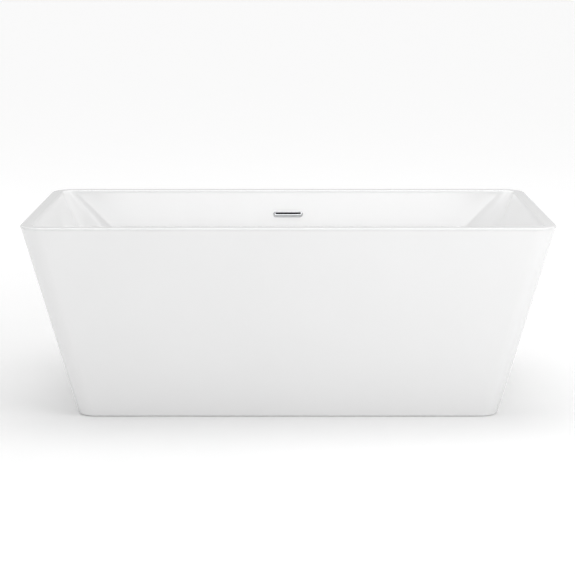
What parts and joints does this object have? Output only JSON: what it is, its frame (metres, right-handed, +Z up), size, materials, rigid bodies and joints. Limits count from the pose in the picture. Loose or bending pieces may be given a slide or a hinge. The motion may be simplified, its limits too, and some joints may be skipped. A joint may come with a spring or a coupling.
{
  "type": "freestanding bathtub",
  "caption": "Rectangular double-wall acrylic freestanding bathtub with sloping walls, slot overflow, press-to-open drain stopper and adjustable levelling feet under a steel frame.",
  "frame": {"origin": "on the floor under the middle of the tub", "axes": "+X along the tub's length, +Y towards the long side that carries the overflow, +Z up"},
  "size_m": [1.65, 0.8, 0.61],
  "materials": {
    "white_acrylic": "high gloss sanitary acrylic",
    "glass_fibre": "rough glass-fibre laminate",
    "board": "raw particle board",
    "galvanised_steel": "galvanised",
    "zinc_steel": "bright zinc plated",
    "chrome": "polished chrome",
    "brass": "machined brass",
    "rubber": "black moulded rubber",
    "pvc": "light grey moulded PVC"
  },
  "bodies": {
    "tub": {"basin_shell": "white_acrylic", "outer_skirt": "white_acrylic", "basin_backing": "glass_fibre", "base_board": "board", "frame_rail_front": "galvanised_steel", "frame_rail_back": "galvanised_steel", "frame_cross_left": "galvanised_steel", "frame_cross_mid_left": "galvanised_steel", "frame_cross_mid_right": "galvanised_steel", "frame_cross_right": "galvanised_steel", "skirt_bracket_left": "galvanised_steel", "skirt_bracket_right": "galvanised_steel", "skirt_bracket_front_1": "galvanised_steel", "skirt_bracket_front_2": "galvanised_steel", "skirt_bracket_back_1": "galvanised_steel", "skirt_bracket_back_2": "galvanised_steel", "foot_sleeve_front_left": "galvanised_steel", "foot_sleeve_back_left": "galvanised_steel", "foot_sleeve_front_right": "galvanised_steel", "foot_sleeve_back_right": "galvanised_steel", "foot_nut_front_left": "zinc_steel", "foot_nut_back_left": "zinc_steel", "foot_nut_front_right": "zinc_steel", "foot_nut_back_right": "zinc_steel", "click_spring": "zinc_steel", "drain_flange": "chrome", "overflow_trim": "chrome", "drain_locknut": "brass", "click_cartridge": "brass", "drain_seal": "rubber", "drain_washer": "rubber", "overflow_gasket": "rubber", "drain_tee": "pvc", "tail_pipe": "pvc", "tail_nut": "pvc", "branch_nut": "pvc", "branch_pipe": "pvc", "overflow_elbow": "pvc", "overflow_pipe": "pvc", "overflow_head": "pvc"},
    "stopper": {"stopper_cap": "chrome", "stopper_seal": "rubber", "click_plunger": "brass"},
    "foot_front_left": {"foot_pad_front_left": "rubber"},
    "rod_front_left": {"foot_rod_front_left": "zinc_steel"},
    "foot_back_left": {"foot_pad_back_left": "rubber"},
    "rod_back_left": {"foot_rod_back_left": "zinc_steel"},
    "foot_front_right": {"foot_pad_front_right": "rubber"},
    "rod_front_right": {"foot_rod_front_right": "zinc_steel"},
    "foot_back_right": {"foot_pad_back_right": "rubber"},
    "rod_back_right": {"foot_rod_back_right": "zinc_steel"}
  },
  "joints": [
    {"name": "stopper_lift", "type": "slide", "parent": "tub", "child": "stopper", "axis": [0, 0, 1], "range_m": [0, 0.009], "deforming": ["click_spring"]},
    {"name": "foot_height_front_left", "type": "slide", "parent": "tub", "child": "foot_front_left", "axis": [0, 0, -1], "range_m": [0, 0.02]},
    {"name": "rod_turn_front_left", "type": "hinge", "parent": "foot_front_left", "child": "rod_front_left", "pos_m": [-0.45, -0.2283, 0.06], "axis": [0, 0, 1], "range_deg": [0, 4119.29]},
    {"name": "foot_height_back_left", "type": "slide", "parent": "tub", "child": "foot_back_left", "axis": [0, 0, -1], "range_m": [0, 0.02]},
    {"name": "rod_turn_back_left", "type": "hinge", "parent": "foot_back_left", "child": "rod_back_left", "pos_m": [-0.45, 0.2283, 0.06], "axis": [0, 0, 1], "range_deg": [0, 4119.29]},
    {"name": "foot_height_front_right", "type": "slide", "parent": "tub", "child": "foot_front_right", "axis": [0, 0, -1], "range_m": [0, 0.02]},
    {"name": "rod_turn_front_right", "type": "hinge", "parent": "foot_front_right", "child": "rod_front_right", "pos_m": [0.45, -0.2283, 0.06], "axis": [0, 0, 1], "range_deg": [0, 4119.29]},
    {"name": "foot_height_back_right", "type": "slide", "parent": "tub", "child": "foot_back_right", "axis": [0, 0, -1], "range_m": [0, 0.02]},
    {"name": "rod_turn_back_right", "type": "hinge", "parent": "foot_back_right", "child": "rod_back_right", "pos_m": [0.45, 0.2283, 0.06], "axis": [0, 0, 1], "range_deg": [0, 4119.29]}
  ],
  "couplings": [
    {"joint": "rod_turn_front_left", "follows": "foot_height_front_left", "rad_per_m": 3590.4},
    {"joint": "rod_turn_back_left", "follows": "foot_height_back_left", "rad_per_m": 3590.4},
    {"joint": "rod_turn_front_right", "follows": "foot_height_front_right", "rad_per_m": 3590.4},
    {"joint": "rod_turn_back_right", "follows": "foot_height_back_right", "rad_per_m": 3590.4}
  ]
}
